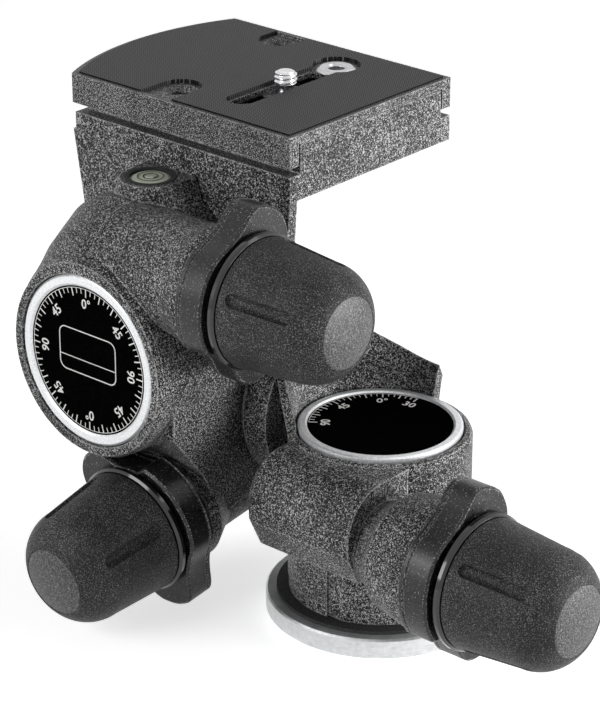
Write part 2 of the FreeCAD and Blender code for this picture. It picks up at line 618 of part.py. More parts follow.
def tilt_parts():
    body = tilt_body_solid()
    barrel_room = wheel_radius(FRONT_TEETH) + 0.7
    drum_room = wheel_radius(SIDE_TEETH) + 0.9
    drum_open = DRUM_FRONT + 1
    wheel_left = FRONT_WHEEL_X - WHEEL_W / 2
    at = V(BARREL_END, FRONT_Y, FRONT_Z)
    tools = [cyl(barrel_room, V(wheel_left - 0.5, FRONT_Y, FRONT_Z), X, 30),
             cyl(11.0, at + X * 2.3, X, 10),
             cyl(drum_room, V(SIDE_X, drum_open, SIDE_Z), Y,
                 SIDE_WHEEL_Y + WHEEL_W / 2 + 0.5 - drum_open),
             cyl(SPINDLE_R + RUN + BEARING_WALL, SIDE_HUB, Y, DRUM_BACK + 1 - SIDE_WHEEL_Y),
             cyl(SIDE_RING_R + GAP, V(SIDE_X, DRUM_FRONT - 1, SIDE_Z), Y, 4.6)]
    tools += bracket_sweep() + worm_bores("side") + worm_bores("front")
    level = V(SIDE_X - 2.2, -20.5, 112.0)
    tools.append(cyl(6.8, level - Z * 4.4, Z, 6))
    body = cut(body, *tools)
    save("tilt_housing", body)

    cup = lathe([(0, 0), (6.8, 0), (6.8, 4.6), (5.6, 4.6), (5.6, 1.2), (0, 1.2)], level - Z * 4.4)
    save("level_cup", cup)
    vial = lathe([(0, 0), (5.6, 0), (5.6, 2.6), (4.6, 3.1), (0, 3.3)], level - Z * 3.2)
    save("level_vial", vial)

    bush_r = SPINDLE_R + RUN + BEARING_WALL
    drum_face = V(SIDE_X, SIDE_WHEEL_Y - WHEEL_W / 2 - 1.8, SIDE_Z)
    drum_depth = drum_face.y - SIDE_DIAL_FACE - 2.9
    flange = tube(bush_r, drum_room, drum_face, Y * -1, drum_depth)
    barrel_face = V(FRONT_WHEEL_X + WHEEL_W / 2 + 1.8, FRONT_Y, FRONT_Z)
    barrel_depth = SEAM_X - GAP - barrel_face.x
    front_flange = tube(bush_r, barrel_room, barrel_face, X, barrel_depth)
    screws = {}
    for key, base, axis, depth, ref in (("side", drum_face, Y * -1, drum_depth, X),
                                        ("front", barrel_face, X, barrel_depth, Z)):
        group = []
        for i in range(4):
            arm = FreeCAD.Rotation(axis, 45 + 90 * i).multVec(ref) * 14.0
            group.append(cyl(1.7, base + arm, axis, depth - 2.2).fuse(
                cyl(2.8, base + arm + axis * (depth - 2.2), axis, 1.8)))
        screws[key] = Part.makeCompound(group)
    save("side_bearing_flange", flange.cut(screws["side"]))
    save("front_bearing_flange", front_flange.cut(screws["front"]))
    save("side_flange_screws", screws["side"])
    save("front_flange_screws", screws["front"])
    rear_face = SIDE_WHEEL_Y + WHEEL_W / 2 + 1.8
    save("side_rear_bush", tube(SPINDLE_R + RUN, bush_r, V(SIDE_X, rear_face, SIDE_Z), Y,
                                DRUM_BACK - GAP - rear_face))
    save("side_front_bush", tube(SPINDLE_R + RUN, bush_r, drum_face, Y * -1, drum_depth))
    save("front_tilt_bush", tube(SPINDLE_R + RUN, bush_r, barrel_face, X, barrel_depth))


def bracket_wall():
    """Flat wall that hangs from the platform to the side tilt shaft."""
    y = PLATE_Y0
    hub_r = 8.0
    root = BLOCK_BOTTOM + 1
    outline = [V(PLATE_X0, y, root + 1), V(PLATE_X0 + 3.5, y, root - 20.5), V(SIDE_X - 10.6, y, SIDE_Z + 8.7),
               V(SIDE_X - 6, y, SIDE_Z), V(SIDE_X + 6, y, SIDE_Z), V(SIDE_X + 12.4, y, SIDE_Z + 14.7),
               V(PLATE_X1 - 19.6, y, root - 17.5), V(PLATE_X1 - 1, y, root - 13.5), V(PLATE_X1, y, root + 1)]
    wall = prism(outline, Y * BRACKET_T)
    hub = cyl(hub_r, V(SIDE_X, y, SIDE_Z), Y, BRACKET_T)
    middle = (PLATE_X0 + PLATE_X1) / 2 - 2.65
    gussets = []
    for x in (middle - GUSSET_STEP, middle, middle + GUSSET_STEP):
        corners = [V(x, y + 1, root - 15.5), V(x, y + 1, root), V(x, PLATE_Y0 + 26.3, root)]
        gussets.append(prism(corners, X * GUSSET_T))
    return fuse(wall, hub, *gussets)


def lever_pieces():
    """Lever, its pivot pin, the jaw that it presses and the safety catch."""
    pivot = V(LEVER_X, LEVER_Y, LEVER_Z0)
    height = LEVER_Z1 - LEVER_Z0
    tip = LEVER_X - LEVER_REACH
    outline = [V(LEVER_X, LEVER_Y - 4.0, LEVER_Z0), V(LEVER_X, LEVER_Y + 6.0, LEVER_Z0),
               V(tip + 3, PLATE_Y1 - 0.6, LEVER_Z0), V(tip, PLATE_Y1 - 2.0, LEVER_Z0),
               V(tip, PLATE_Y1 - 5.0, LEVER_Z0), V(LEVER_X - 12, LEVER_Y + 1.5, LEVER_Z0)]
    lever = fuse(prism(outline, Z * height), cyl(6.0, pivot, Z, height))
    save("clamp_lever", lever.cut(cyl(LEVER_PIN_R + RUN, pivot - Z, Z, height + 2)))
    pin = cyl(LEVER_PIN_R, V(LEVER_X, LEVER_Y, BLOCK_BOTTOM + 0.3), Z, BLOCK_SHELF - BLOCK_BOTTOM)
    head = cyl(3.4, V(LEVER_X, LEVER_Y, BLOCK_BOTTOM - 0.6), Z, 1.0)
    save("lever_pin", fuse(pin, head))
    face = PLATE_Y1 - PLATE_LIP_T - 0.1
    jaw_top = PLATE_TOP - PLATE_WEB - 1.2
    jaw = box(LEVER_X - 26, LEVER_X + 10, face - 4.2, face, BLOCK_SHELF + 0.6, jaw_top)
    save("clamp_jaw", jaw)
    side = V(PLATE_X0 + 1, LEVER_Y, LEVER_Z0 + 2.8)
    catch = cyl(CATCH_R, side - X * 0.4, X, tip - side.x - 0.4)
    button = cyl(BUTTON_R, side - X * 3.0, X, 2.6)
    save("safety_catch", fuse(catch, button))


def platform_parts():
    shelf = BLOCK_SHELF
    web_bottom = PLATE_TOP - PLATE_WEB
    back = PLATE_Y1 - PLATE_LIP_T - 0.6
    block = box(PLATE_X0 + 1, PLATE_X1, PLATE_Y0, PLATE_Y1, BLOCK_BOTTOM, shelf)
    riser = box(PLATE_X0 + 2, PLATE_X1, PLATE_Y0 + PLATE_LIP_T + 0.6, back,
                shelf - 0.5, web_bottom - 0.2)
    hollow = box(PLATE_X0 + 8, PLATE_X1 - 8, PLATE_Y0 + 8, LEVER_Y - 16, BLOCK_BOTTOM - 1, shelf - 1.9)
    body = fuse(block, riser, bracket_wall())
    lever_room = box(LEVER_X - LEVER_REACH - 2, LEVER_X + 7, LEVER_Y - 7, PLATE_Y1 + 1,
                     BLOCK_BOTTOM - 1, LEVER_Z1 + GAP)
    catch_at = V(PLATE_X0, LEVER_Y, LEVER_Z0 + 2.8)
    catch_hole = fuse(cyl(CATCH_R + RUN, catch_at, X, 24), cyl(BUTTON_R + GAP, catch_at, X, 3.4))
    jaw_room = box(LEVER_X - 27, LEVER_X + 11, back - 5.4, back + 1, shelf + 0.4, web_bottom - 0.8)
    channel = box(SLOT_X - 8.5, SLOT_X + 8.5, SLOT_Y0 - 9.5, SLOT_Y1 + 9.5, web_bottom - 6.2, PLATE_TOP)
    shaft_hole = cyl(SPINDLE_R - 2, V(SIDE_X, -20, SIDE_Z), Y, 20)
    pin_hole = cyl(LEVER_PIN_R, V(LEVER_X, LEVER_Y, BLOCK_BOTTOM - 4), Z, 12)
    body = cut(body, hollow, shaft_hole, lever_room, jaw_room, channel, catch_hole, pin_hole)
    save("platform_bracket", body)
    lever_pieces()

    wall_back = PLATE_Y0 + BRACKET_T
    face = SIDE_DIAL_FACE
    at = V(SIDE_X, 0, SIDE_Z)
    shaft = lathe([(0, face + 1.6), (SPINDLE_R, face + 1.6), (SPINDLE_R, PLATE_Y0),
                   (SPINDLE_R - 2, PLATE_Y0), (SPINDLE_R - 2, wall_back), (0, wall_back)], at, Y)
    save("side_tilt_shaft", shaft)
    save("side_tilt_wheel", SIDE.put_wheel(worm_wheel(SIDE_TEETH, SPINDLE_R)))
    dial = lathe([(0, face), (SIDE_DIAL_R, face), (SIDE_DIAL_R, face + 1.0), (SIDE_RING_R, face + 1.0),
                  (SIDE_RING_R, face + 1.6), (0, face + 1.6)], at, Y)
    save("side_dial", dial)
    ring = lathe([(SIDE_DIAL_R, face + 1.0), (SIDE_DIAL_R, face - 0.1), (SIDE_DIAL_R + 0.6, face - 0.6),
                  (SIDE_RING_R - 0.6, face - 0.6), (SIDE_RING_R, face - 0.1), (SIDE_RING_R, face + 1.0)],
                 at, Y)
    save("side_dial_ring", ring)


def plate_outline(z, inset):
    """Square-cornered plate whose far end bows outwards."""
    x0, x1 = PLATE_X0 + inset, PLATE_X1 - inset
    y0, y1 = PLATE_Y0 + inset, PLATE_Y1 - inset
    mid = (y0 + y1) / 2
    edges = [Part.makeLine(V(x0, y0, z), V(x1, y0, z)), Part.makeLine(V(x1, y0, z), V(x1, y1, z)),
             Part.makeLine(V(x1, y1, z), V(x0, y1, z)),
             Part.Arc(V(x0, y1, z), V(x0 - PLATE_BULGE, mid, z), V(x0, y0, z)).toShape()]
    return Part.Face(Part.Wire(edges))


def slot_cut(radius, y0, y1, z, height):
    """Round-ended slot across the plate."""
    ends = [cyl(radius, V(SLOT_X, y, z), Z, height) for y in (y0, y1)]
    return fuse(box(SLOT_X - radius, SLOT_X + radius, y0, y1, z, z + height), *ends)


def notch_cut(x, y, z, height):
    """Notch in the pad from its nearer long edge round a screw hole."""
    edge = PLATE_Y0 if y < 20 else PLATE_Y1
    y0, y1 = min(y, edge), max(y, edge)
    return fuse(cyl(NOTCH_R, V(x, y, z), Z, height), box(x - NOTCH_R, x + NOTCH_R, y0, y1, z, z + height))


def plate_parts():
    web_bottom = PLATE_TOP - PLATE_WEB
    lip_bottom = PLATE_TOP - PLATE_LIP
    pad_seat = PLATE_TOP - PAD_T + 0.4
    body = plate_outline(lip_bottom, 0).extrude(Z * PLATE_LIP)
    room = box(PLATE_X0 - 20, PLATE_X1 + 1, PLATE_Y0 + PLATE_LIP_T, PLATE_Y1 - PLATE_LIP_T,
               lip_bottom - 1, web_bottom)
    pocket = plate_outline(pad_seat, 1.4).extrude(Z * 3)
    slot = slot_cut(CAMERA_SCREW_R + 0.4, SLOT_Y0, SLOT_Y1, web_bottom - 1, 6)
    bush_seat = cyl(PLATE_BUSH_R, V(SLOT_X, PLATE_BUSH_Y, web_bottom + 0.7), Z, 5)
    holes = [cyl(2.4, V(x, y, lip_bottom - 1), Z, 12) for x, y in NOTCHES]
    sinks = [Part.makeCone(2.4, 4.2, 1.0, V(x, y, pad_seat - 1.0)) for x, y in NOTCHES]
    body = cut(body, room, pocket, slot, bush_seat, *(holes + sinks))
    save("quick_release_plate", body)
    pad = plate_outline(pad_seat, 1.4).extrude(Z * PAD_T)
    cuts = [slot_cut(CAMERA_SCREW_R + 1.1, SLOT_Y0, PLATE_BUSH_Y, web_bottom, 6),
            cyl(PLATE_BUSH_R + 0.9, V(SLOT_X, PLATE_BUSH_Y, web_bottom), Z, 6)]
    cuts += [notch_cut(x, y, web_bottom, 6) for x, y in NOTCHES]
    save("plate_pad", cut(pad, *cuts))
    bush = lathe([(2.2, 0), (PLATE_BUSH_R, 0), (PLATE_BUSH_R, 0.8), (PLATE_BUSH_R - 1.2, 1.4),
                  (2.8, 1.4), (2.2, 0.9)], V(SLOT_X, PLATE_BUSH_Y, web_bottom + 0.7), Z)
    save("plate_bush", bush)

    axis = V(SLOT_X, SCREW_Y, 0)
    under = web_bottom - 0.1
    bore = SCREW_NECK_R + RUN
    retainer = lathe([(bore, under - 1.2), (6.5, under - 1.2), (6.5, under), (bore, under)], axis, Z)
    save("screw_retainer", retainer)
    head_top = under - 1.3
    screw = lathe([(0, head_top - 3.4), (6.0, head_top - 3.4), (6.5, head_top - 2.9), (6.5, head_top),
                   (SCREW_NECK_R, head_top), (SCREW_NECK_R, PLATE_TOP + 0.5),
                   (CAMERA_SCREW_R, PLATE_TOP + 0.5), (CAMERA_SCREW_R, SCREW_TOP - 0.6),
                   (CAMERA_SCREW_R - 0.6, SCREW_TOP), (0, SCREW_TOP)], axis, Z)
    drive = box(SLOT_X - 8, SLOT_X + 8, SCREW_Y - 0.7, SCREW_Y + 0.7, head_top - 5, head_top - 1.9)
    save("camera_screw", screw.cut(drive))


def main():
    os.makedirs("parts", exist_ok=True)
    base_parts()
    pan_parts()
    tilt_parts()
    platform_parts()
    plate_parts()
    for name in KNOBS:
        knob_parts(name)


main()
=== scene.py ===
import math

import bpy
from mathutils import Matrix, Vector


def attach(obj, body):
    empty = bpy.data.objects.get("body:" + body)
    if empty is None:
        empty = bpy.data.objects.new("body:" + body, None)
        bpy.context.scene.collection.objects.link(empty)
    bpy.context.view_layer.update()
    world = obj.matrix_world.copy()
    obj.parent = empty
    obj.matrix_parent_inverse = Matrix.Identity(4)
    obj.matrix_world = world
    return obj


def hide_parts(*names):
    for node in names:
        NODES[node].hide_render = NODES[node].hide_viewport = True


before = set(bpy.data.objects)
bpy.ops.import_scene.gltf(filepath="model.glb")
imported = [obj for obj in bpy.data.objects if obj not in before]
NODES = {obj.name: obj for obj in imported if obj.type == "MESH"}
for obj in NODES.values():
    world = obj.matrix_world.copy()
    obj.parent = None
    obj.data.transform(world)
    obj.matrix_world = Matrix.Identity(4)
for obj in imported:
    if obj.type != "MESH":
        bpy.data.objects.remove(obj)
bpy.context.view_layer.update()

MM = 0.001

# Places of the dials and the level, in millimetres, as the part's source has them
SIDE_X, SIDE_Z = -59.4, 69.3
SIDE_FACE = -47.3
PAN_FACE = 53.0
LEVEL = (-61.6, -20.5, 112.1)
SCREW = (-49.3, 18.5)
SCREW_LOW, SCREW_TOP = 122.8, 133.8

scene = bpy.context.scene
scene.view_settings.view_transform = "Standard"


# Materials

# First number: how steeply the painted edge highlight rises near sharp edges
EDGE_HIGHLIGHT_GAIN = 9.0
COAT_ROUGH = 0.08
WEAVE_STEP = 1.5


class Nodes:
    """Small helper that builds one node material."""

    def __init__(self, name):
        self.mat = bpy.data.materials.new(name)
        self.mat.use_nodes = True
        self.tree = self.mat.node_tree
        self.shader = self.tree.nodes["Principled BSDF"]
        self.coords = self.add("ShaderNodeTexCoord").outputs["Object"]

    def add(self, kind, **values):
        node = self.tree.nodes.new(kind)
        for key, value in values.items():
            setattr(node, key, value)
        return node

    def link(self, a, b):
        self.tree.links.new(a, b)

    def noise(self, scale, detail=2.0, rough=0.5, stretch=None):
        node = self.add("ShaderNodeTexNoise")
        node.inputs["Scale"].default_value = scale
        node.inputs["Detail"].default_value = detail
        node.inputs["Roughness"].default_value = rough
        source = self.coords
        if stretch:
            mapping = self.add("ShaderNodeMapping")
            mapping.inputs["Scale"].default_value = stretch
            self.link(source, mapping.inputs["Vector"])
            source = mapping.outputs["Vector"]
        self.link(source, node.inputs["Vector"])
        return node.outputs["Fac"]

    def cells(self, scale):
        node = self.add("ShaderNodeTexVoronoi")
        node.inputs["Scale"].default_value = scale
        self.link(self.coords, node.inputs["Vector"])
        return node.outputs["Distance"]

    def ramp(self, source, stops):
        node = self.add("ShaderNodeValToRGB")
        band = node.color_ramp
        while len(band.elements) < len(stops):
            band.elements.new(0.5)
        for element, (at, value) in zip(band.elements, stops):
            element.position = at
            shade = value if isinstance(value, tuple) else (value, value, value)
            element.color = (*shade, 1.0)
        self.link(source, node.inputs["Fac"])
        return node.outputs["Color"]

    def maths(self, operation, a, b=None, clamp=False):
        node = self.add("ShaderNodeMath", operation=operation, use_clamp=clamp)
        for socket, value in zip(node.inputs, (a, b)):
            if value is None:
                continue
            if isinstance(value, (int, float)):
                socket.default_value = value
            else:
                self.link(value, socket)
        return node.outputs[0]

    def mix(self, first, second, share):
        """Weighted sum of two noises, the share being that of the second."""
        kept = self.maths("MULTIPLY", first, 1.0 - share)
        return self.maths("ADD", kept, self.maths("MULTIPLY", second, share))

    def bump(self, height, strength, distance, under=None):
        node = self.add("ShaderNodeBump")
        node.inputs["Strength"].default_value = strength
        node.inputs["Distance"].default_value = distance * MM
        self.link(height, node.inputs["Height"])
        if under is not None:
            self.link(under, node.inputs["Normal"])
        return node.outputs["Normal"]

    def soft_edges(self, radius):
        node = self.add("ShaderNodeBevel", samples=4)
        node.inputs["Radius"].default_value = radius * MM
        return node.outputs["Normal"]

    def painted_edge_highlight(self, rounded, gain):
        """Painted highlight: high along sharp edges, where the edges catch the light, and nothing
        elsewhere.
        """
        flat = self.add("ShaderNodeNewGeometry").outputs["Normal"]
        dot = self.add("ShaderNodeVectorMath", operation="DOT_PRODUCT")
        self.link(flat, dot.inputs[0])
        self.link(rounded, dot.inputs[1])
        away = self.maths("SUBTRACT", 1.0, dot.outputs["Value"])
        return self.maths("MULTIPLY", self.maths("MULTIPLY", away, EDGE_HIGHLIGHT_GAIN, clamp=True), gain)

    def finish(self, color, rough, metal=0.0, specular=0.5, normal=None, coat=0.0):
        """The material, its roughness either a number or the output of a node."""
        self.link(color, self.shader.inputs["Base Color"])
        if isinstance(rough, bpy.types.NodeSocket):
            self.link(rough, self.shader.inputs["Roughness"])
        else:
            self.shader.inputs["Roughness"].default_value = rough
        self.shader.inputs["Metallic"].default_value = metal
        self.shader.inputs["Specular IOR Level"].default_value = specular
        self.shader.inputs["Coat Weight"].default_value = coat
        self.shader.inputs["Coat Roughness"].default_value = COAT_ROUGH
        if normal is not None:
            self.link(normal, self.shader.inputs["Normal"])
        return self.mat


def crinkle_coat():
    """Black powder coat with fine bright grains."""
    n = Nodes("crinkle_coat")
    grain = n.noise(3200.0, 2.0, 0.6)
    lumps = n.noise(1500.0, 2.0, 0.5)
    patch = n.noise(70.0, 2.0, 0.5)
    height = n.mix(grain, lumps, 0.3)
    rounded = n.soft_edges(0.7)
    # Grain and patches, plus a painted highlight along the sharp edges
    shade = n.maths("ADD", n.mix(height, patch, 0.08), n.painted_edge_highlight(rounded, 0.1))
    color = n.ramp(shade, [(0.43, 0.002), (0.49, 0.012), (0.54, 0.17), (0.61, 0.7)])
    rough = n.ramp(lumps, [(0.3, 0.34), (0.7, 0.56)])
    return n.finish(color, rough, 0.0, 0.16, n.bump(height, 0.9, 0.16, rounded))


def plate_black():
    """Black cast plate with a finer grain than the housings."""
    n = Nodes("plate_black")
    grain = n.noise(3400.0, 2.0, 0.6)
    wear = n.noise(90.0, 3.0, 0.6)
    rounded = n.soft_edges(0.4)
    # Grain and wear, plus a painted highlight along the sharp edges
    shade = n.maths("ADD", n.mix(grain, wear, 0.1), n.painted_edge_highlight(rounded, 0.12))
    color = n.ramp(shade, [(0.42, 0.003), (0.49, 0.02), (0.55, 0.2), (0.64, 0.7)])
    rough = n.ramp(wear, [(0.3, 0.34), (0.7, 0.52)])
    return n.finish(color, rough, 0.0, 0.16, n.bump(grain, 0.8, 0.12, rounded))


def gloss_black():
    n = Nodes("gloss_black")
    waves = n.noise(120.0, 2.0, 0.5)
    rough = n.ramp(waves, [(0.3, 0.1), (0.7, 0.18)])
    color = n.ramp(waves, [(0.3, 0.003), (0.7, 0.006)])
    normal = n.bump(n.noise(900.0, 2.0), 0.04, 0.03, n.soft_edges(0.25))
    return n.finish(color, rough, 0.0, 0.5, normal, 0.3)


def dial_black():
    n = Nodes("dial_black")
    dust = n.noise(2400.0, 2.0, 0.6)
    color = n.ramp(dust, [(0.4, 0.001), (0.75, 0.004)])
    rough = n.ramp(dust, [(0.3, 0.3), (0.7, 0.4)])
    return n.finish(color, rough, 0.0, 0.0, n.bump(dust, 0.05, 0.02))


def lever_black():
    """Satin black with fine marks round the ring and a painted highlight along its edges."""
    n = Nodes("lever_black")
    grain = n.noise(2600.0, 2.0, 0.6)
    streaks = n.noise(260.0, 3.0, 0.6, (0.25, 1.0, 1.0))
    rounded = n.soft_edges(0.5)
    # Grain plus a painted highlight along the sharp edges
    shade = n.maths("ADD", grain, n.painted_edge_highlight(rounded, 0.16))
    color = n.ramp(shade, [(0.48, 0.002), (0.6, 0.012), (0.68, 0.12), (0.76, 0.7)])
    rough = n.ramp(streaks, [(0.3, 0.26), (0.7, 0.42)])
    normal = n.bump(streaks, 0.2, 0.06, n.bump(grain, 0.4, 0.06, rounded))
    return n.finish(color, rough, 0.0, 0.4, normal)


def grip_rubber():
    """Charcoal rubber with a fine moulded grain."""
    n = Nodes("grip_rubber")
    grain = n.noise(3400.0, 2.0, 0.6)
    pits = n.cells(2600.0)
    haze = n.noise(70.0, 3.0, 0.6)
    color = n.ramp(n.mix(grain, haze, 0.15), [(0.42, 0.002), (0.5, 0.012), (0.57, 0.065), (0.67, 0.28)])
    rough = n.ramp(haze, [(0.3, 0.46), (0.7, 0.6)])
    height = n.maths("ADD", grain, n.maths("MULTIPLY", pits, 0.5))
    return n.finish(color, rough, 0.0, 0.22, n.bump(height, 0.7, 0.1))


def cap_grey():
    n = Nodes("cap_grey")
    grain = n.noise(2600.0, 2.0, 0.6)
    color = n.ramp(grain, [(0.38, 0.02), (0.52, 0.07), (0.66, 0.24)])
    rough = n.ramp(grain, [(0.3, 0.4), (0.7, 0.52)])
    return n.finish(color, rough, 0.0, 0.4, n.bump(grain, 0.4, 0.06))


def pad_weave():
    """Black rubber pad with a fine raised diamond pattern."""
    n = Nodes("pad_weave")
    split = n.add("ShaderNodeSeparateXYZ")
    n.link(n.coords, split.inputs[0])
    x, y = split.outputs["X"], split.outputs["Y"]
    wave = 2 * math.pi / (WEAVE_STEP * MM)
    first = n.maths("SINE", n.maths("MULTIPLY", n.maths("ADD", x, y), wave))
    second = n.maths("SINE", n.maths("MULTIPLY", n.maths("SUBTRACT", x, y), wave))
    knots = n.maths("MULTIPLY", first, second)
    spread = n.maths("ADD", n.maths("MULTIPLY", knots, 0.5), 0.5)
    height = n.mix(spread, n.noise(2500.0, 2.0, 0.6), 0.15)
    color = n.ramp(height, [(0.35, 0.001), (0.6, 0.008), (0.75, 0.09), (0.9, 0.24)])
    rough = n.ramp(spread, [(0.3, 0.6), (0.7, 0.45)])
    return n.finish(color, rough, 0.0, 0.2, n.bump(height, 1.0, 0.3))


def turned_metal(name, color, low, high, streak, metal=1.0):
    """Bare metal with fine tool marks."""
    n = Nodes(name)
    marks = n.noise(streak, 4.0, 0.6, (0.2, 0.2, 3.0))
    spots = n.noise(700.0, 2.0, 0.6)
    dark = tuple(0.72 * c for c in color)
    shade = n.ramp(n.mix(marks, spots, 0.4), [(0.35, dark), (0.65, color)])
    rough = n.ramp(marks, [(0.3, low), (0.7, high)])
    return n.finish(shade, rough, metal, 0.5, n.bump(marks, 0.25, 0.05, n.soft_edges(0.2)))


def ring_silver():
    """Satin silver dial ring, light from every side."""
    n = Nodes("ring_silver")
    grain = n.noise(1900.0, 3.0, 0.6)
    shade = n.ramp(grain, [(0.3, (0.66, 0.67, 0.69)), (0.65, (0.9, 0.91, 0.92))])
    rough = n.ramp(grain, [(0.3, 0.36), (0.7, 0.5)])
    return n.finish(shade, rough, 0.65, 0.5, n.bump(grain, 0.2, 0.05, n.soft_edges(0.15)))


def mark_white():
    n = Nodes("mark_white")
    ink = n.noise(3000.0, 2.0)
    color = n.ramp(ink, [(0.3, (0.82, 0.82, 0.8)), (0.7, (0.93, 0.93, 0.91))])
    return n.finish(color, 0.5)


def mark_black():
    n = Nodes("mark_black")
    ink = n.noise(3000.0, 2.0)
    color = n.ramp(ink, [(0.3, 0.004), (0.7, 0.012)])
    return n.finish(color, 0.3)


def level_liquid():
    n = Nodes("level_liquid")
    cloud = n.noise(220.0, 2.0)
    color = n.ramp(cloud, [(0.3, (0.82, 0.88, 0.68)), (0.7, (0.9, 0.94, 0.8))])
    return n.finish(color, 0.3, 0.0, 0.2, None, 0.3)


def level_bubble():
    n = Nodes("level_bubble")
    cloud = n.noise(400.0, 2.0)
    color = n.ramp(cloud, [(0.3, (0.84, 0.88, 0.74)), (0.7, (0.93, 0.95, 0.86))])
    return n.finish(color, 0.04, 0.0, 0.7, None, 1.0)


def matte_dark():
    n = Nodes("matte_dark")
    grain = n.noise(1500.0, 2.0, 0.6)
    color = n.ramp(grain, [(0.35, 0.01), (0.7, 0.04)])
    return n.finish(color, 0.6, 0.0, 0.3, n.bump(grain, 0.3, 0.06))


def catch_red():
    n = Nodes("catch_red")
    tint = n.noise(500.0, 2.0)
    color = n.ramp(tint, [(0.3, (0.4, 0.03, 0.02)), (0.7, (0.5, 0.05, 0.03))])
    return n.finish(color, 0.3, 0.0, 0.5, n.bump(tint, 0.05, 0.03), 0.3)


SILVER = ring_silver()
STEEL = turned_metal("ground_steel", (0.62, 0.62, 0.64), 0.2, 0.38, 1500.0)
BRIGHT = turned_metal("bright_steel", (0.8, 0.8, 0.82), 0.12, 0.28, 1800.0)
BRONZE = turned_metal("gear_bronze", (0.72, 0.5, 0.27), 0.25, 0.42, 1500.0)
ALUMINIUM = turned_metal("turned_aluminium", (0.72, 0.73, 0.74), 0.3, 0.46, 1400.0, 0.8)
LEVER = lever_black()
WHITE = mark_white()
INK = mark_black()

LOOKS = [
    (crinkle_coat(), "pan_housing tilt_housing platform_bracket"),
    (plate_black(), "quick_release_plate clamp_lever clamp_jaw"),
    (dial_black(), "pan_dial side_dial"),
    (gloss_black(), "side_knob_core front_knob_core pan_knob_core"),
    (LEVER, "side_lever_ring front_lever_ring pan_lever_ring"),
    (SILVER, "pan_dial_ring side_dial_ring"),
    (ALUMINIUM, "base_disc side_bearing_flange front_bearing_flange"),
    (STEEL, "base_thread_bush pan_column pan_lock_nut front_tilt_shaft front_tilt_nut side_tilt_shaft "
            "lever_pin screw_retainer side_worm_shaft front_worm_shaft pan_worm_shaft plate_bush "
            "side_eccentric_sleeve front_eccentric_sleeve pan_eccentric_sleeve"),
    (BRIGHT, "base_screws side_flange_screws front_flange_screws camera_screw"),
    (BRONZE, "pan_worm_wheel front_tilt_wheel side_tilt_wheel pan_lower_bush pan_upper_bush "
             "side_rear_bush side_front_bush front_tilt_bush"),
    (grip_rubber(), "side_knob_grip front_knob_grip pan_knob_grip"),
    (cap_grey(), "side_knob_end_disc front_knob_end_disc pan_knob_end_disc"),
    (pad_weave(), "plate_pad"),
    (matte_dark(), "base_friction_ring level_cup"),
    (level_liquid(), "level_vial"),
    (catch_red(), "safety_catch"),
]
for look, names in LOOKS:
    for name in names.split():
        mesh = NODES[name].data
        mesh.materials.clear()
        mesh.materials.append(look)


# Pieces

def piece(name, verts, faces, look, body):
    """New mesh object from millimetre points."""
    mesh = bpy.data.meshes.new(name)
    mesh.from_pydata([Vector(v) * MM for v in verts], [], faces)
    mesh.validate()
    mesh.update()
    mesh.materials.append(look)
    obj = bpy.data.objects.new(name, mesh)
    scene.collection.objects.link(obj)
    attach(obj, body)
    return obj


# Marks: how far they stand up, the width and length of short and long ticks, the
# degrees between them, the steps round a corner and the growth of a number's strokes
RISE = 0.05
THIN, THICK = 0.22, 0.34
SHORT_TICK, LONG_TICK = 1.4, 2.2
TICK_STEP, LONG_STEP = 5, 15
CORNER_STEPS = 6
STROKE_GROWTH = 0.012


